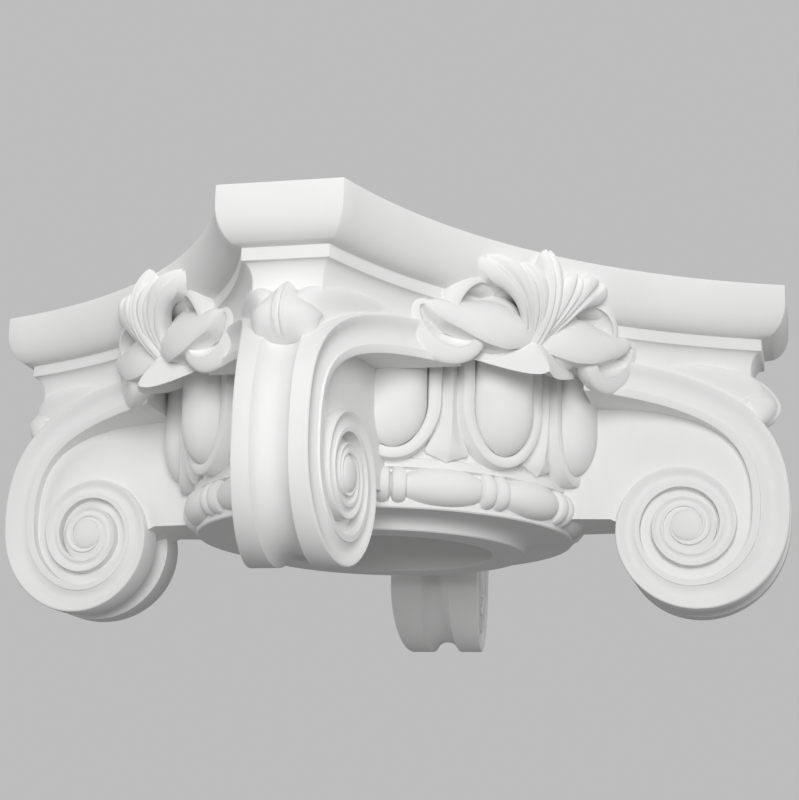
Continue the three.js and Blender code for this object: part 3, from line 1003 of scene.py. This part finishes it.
class CAPITAL_OT_bead_ring(bpy.types.Operator):
    """Model the ring of beads and reels"""

    bl_idname = "capital.bead_ring"
    bl_label = "Beads and Reels"

    def execute(self, context):
        model_bead_ring(context.scene.capital_beads, context.scene.capital_eggs)
        return {"FINISHED"}


class CAPITAL_OT_volutes(bpy.types.Operator):
    """Model the corner volutes with their panels, spirals and eyes"""

    bl_idname = "capital.volutes"
    bl_label = "Volutes"

    def execute(self, context):
        model_volutes(context.scene.capital_volutes)
        return {"FINISHED"}


class CAPITAL_OT_fleurons(bpy.types.Operator):
    """Model the fleurons on the sides and the buds at the corners"""

    bl_idname = "capital.fleurons"
    bl_label = "Fleurons and Buds"

    def execute(self, context):
        model_fleurons(context.scene.capital_fleurons)
        model_buds(context.scene.capital_fleurons)
        return {"FINISHED"}


class CAPITAL_OT_cast(bpy.types.Operator):
    """Join the modelled forms into one casting and give it its plaster finish"""

    bl_idname = "capital.cast"
    bl_label = "Cast in One"

    def execute(self, context):
        casting = cast_in_one(CASTING)
        mesh = casting.data
        mesh.calc_loop_triangles()
        if not 0 < len(mesh.loop_triangles) < MOST_TRIANGLES:
            raise RuntimeError(f"The casting has {len(mesh.loop_triangles)} triangles")
        mesh.materials.clear()
        mesh.materials.append(plaster_material(context.scene.capital_plaster))
        mesh.set_sharp_from_angle(angle=CREASE)
        mesh.polygons.foreach_set("use_smooth", [abs(face.normal.z) < LEVEL for face in mesh.polygons])
        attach(casting, "root")
        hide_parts(NODE)
        return {"FINISHED"}


# The camera at the photo's angle: its place, its turns, and its focal length and sensor in millimetres
CAMERA_PLACE = (-0.6114, -1.0105, -0.1521)
CAMERA_HEADING = math.radians(-31.524)
CAMERA_TILT = math.radians(90 + 14.0535)
CAMERA_ROLL = math.radians(1.556)
CAMERA_LENS = 82.63
CAMERA_SENSOR = 36
# Place and width of each lamp
KEY_LIGHT = (-0.879, -1.451, 0.219), 0.7
LEFT_FILL = (-1.535, 0.596, 0.5), 0.8
RIGHT_FILL = (1.239, -1.085, 0.5), 0.8
TOP_LIGHT = (0, 0, 2.2), 1.2
FLOOR_HALF = 3


def add_camera(scene):
    """The camera, a little below the capital."""
    camera = bpy.data.objects.new("camera", bpy.data.cameras.new("camera"))
    scene.collection.objects.link(camera)
    turn = Matrix.Rotation(CAMERA_HEADING, 4, "Z") @ Matrix.Rotation(CAMERA_TILT, 4, "X")
    turn = turn @ Matrix.Rotation(CAMERA_ROLL, 4, "Z")
    camera.matrix_world = Matrix.Translation(CAMERA_PLACE) @ turn
    camera.data.lens = CAMERA_LENS
    camera.data.sensor_fit = "HORIZONTAL"
    camera.data.sensor_width = CAMERA_SENSOR
    camera.data.clip_start = 0.05
    scene.camera = camera


def add_floor(scene, look):
    """A pale floor that is clear from below, where the camera stands."""
    bm = bmesh.new()
    bmesh.ops.create_grid(bm, x_segments=1, y_segments=1, size=FLOOR_HALF)
    mesh = bpy.data.meshes.new("floor")
    bm.to_mesh(mesh)
    bm.free()
    floor = bpy.data.objects.new("floor", mesh)
    scene.collection.objects.link(floor)
    material = bpy.data.materials.new("pale_floor")
    material.use_nodes = True
    nodes, links = material.node_tree.nodes, material.node_tree.links
    shader = nodes["Principled BSDF"]
    shader.inputs["Base Color"].default_value = (*look.floor, 1)
    shader.inputs["Roughness"].default_value = 0.9
    clear = nodes.new("ShaderNodeBsdfTransparent")
    side = nodes.new("ShaderNodeNewGeometry")
    mix = nodes.new("ShaderNodeMixShader")
    links.new(side.outputs["Backfacing"], mix.inputs[0])
    links.new(shader.outputs[0], mix.inputs[1])
    links.new(clear.outputs[0], mix.inputs[2])
    links.new(mix.outputs[0], nodes["Material Output"].inputs["Surface"])
    mesh.materials.append(material)
    floor.visible_diffuse = False
    floor.visible_glossy = False
    floor.visible_shadow = False


def add_world(scene, look):
    """A grey background, and a softer light all round."""
    world = bpy.data.worlds.new("studio")
    scene.world = world
    world.use_nodes = True
    nodes, links = world.node_tree.nodes, world.node_tree.links
    seen = nodes["Background"]
    seen.inputs["Color"].default_value = (look.background, look.background, look.background, 1)
    lit = nodes.new("ShaderNodeBackground")
    lit.inputs["Color"].default_value = (1, 1, 1, 1)
    lit.inputs["Strength"].default_value = look.ambient
    path = nodes.new("ShaderNodeLightPath")
    mix = nodes.new("ShaderNodeMixShader")
    links.new(path.outputs["Is Camera Ray"], mix.inputs[0])
    links.new(lit.outputs[0], mix.inputs[1])
    links.new(seen.outputs[0], mix.inputs[2])
    links.new(mix.outputs[0], nodes["World Output"].inputs["Surface"])


def add_light(scene, name, lamp, power, lit=None):
    """A soft round lamp turned to the capital. Given a collection, it lights only what is in it."""
    place, width = lamp
    light = bpy.data.objects.new(name, bpy.data.lights.new(name, "AREA"))
    scene.collection.objects.link(light)
    light.data.shape = "DISK"
    light.data.size = width
    light.data.energy = power
    light.location = place
    aim = Vector((0, 0, HEIGHT / 2)) - Vector(place)
    light.rotation_euler = aim.to_track_quat("-Z", "Y").to_euler()
    light.light_linking.receiver_collection = lit


class CAPITAL_OT_stage(bpy.types.Operator):
    """Set up the floor, the background, the lights and the camera"""

    bl_idname = "capital.stage"
    bl_label = "Stage"

    def execute(self, context):
        scene, look = context.scene, context.scene.capital_stage
        casting = bpy.data.objects.get(CASTING)
        if casting is None:
            raise RuntimeError("There is no casting to light: cast the capital first")
        lit = bpy.data.collections.new("lit_by_lamps")
        lit.objects.link(casting)
        scene.view_settings.view_transform = "Standard"
        add_camera(scene)
        add_floor(scene, look)
        add_world(scene, look)
        add_light(scene, "key_light", KEY_LIGHT, look.key_power, lit)
        add_light(scene, "left_fill", LEFT_FILL, look.left_power, lit)
        add_light(scene, "right_fill", RIGHT_FILL, look.right_power, lit)
        add_light(scene, "top_light", TOP_LIGHT, look.top_power)
        return {"FINISHED"}


OPERATORS = [
    CAPITAL_OT_abacus,
    CAPITAL_OT_round_body,
    CAPITAL_OT_egg_ring,
    CAPITAL_OT_bead_ring,
    CAPITAL_OT_volutes,
    CAPITAL_OT_fleurons,
    CAPITAL_OT_cast,
    CAPITAL_OT_stage,
]

SETTINGS = {
    "capital_abacus": AbacusSizes,
    "capital_body": BodySizes,
    "capital_eggs": EggSizes,
    "capital_beads": BeadSizes,
    "capital_volutes": VoluteSizes,
    "capital_fleurons": FleuronSizes,
    "capital_plaster": PlasterLook,
    "capital_stage": StageLook,
}


class CAPITAL_PT_panel(bpy.types.Panel):
    """The steps that make the capital, and the sizes they use"""

    bl_idname = "CAPITAL_PT_panel"
    bl_label = "Plaster Capital"
    bl_space_type = "VIEW_3D"
    bl_region_type = "UI"
    bl_category = "Capital"

    def draw(self, context):
        layout = self.layout
        for operator in OPERATORS:
            layout.operator(operator.bl_idname)
        for name, group in SETTINGS.items():
            box = layout.box()
            box.label(text=name.replace("capital_", "").title())
            for prop in group.__annotations__:
                box.prop(getattr(context.scene, name), prop)


def register():
    """Adds the sizes, the operators and the panel."""
    for name, group in SETTINGS.items():
        bpy.utils.register_class(group)
        setattr(bpy.types.Scene, name, PointerProperty(type=group))
    for operator in OPERATORS:
        bpy.utils.register_class(operator)
    bpy.utils.register_class(CAPITAL_PT_panel)


def unregister():
    """Takes the panel, the operators and the sizes away again."""
    bpy.utils.unregister_class(CAPITAL_PT_panel)
    for operator in reversed(OPERATORS):
        bpy.utils.unregister_class(operator)
    for name, group in SETTINGS.items():
        delattr(bpy.types.Scene, name)
        bpy.utils.unregister_class(group)


def main():
    """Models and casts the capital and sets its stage."""
    register()
    bpy.ops.capital.abacus()
    bpy.ops.capital.round_body()
    bpy.ops.capital.egg_ring()
    bpy.ops.capital.bead_ring()
    bpy.ops.capital.volutes()
    bpy.ops.capital.fleurons()
    bpy.ops.capital.cast()
    bpy.ops.capital.stage()


if __name__ == "__main__":
    main()
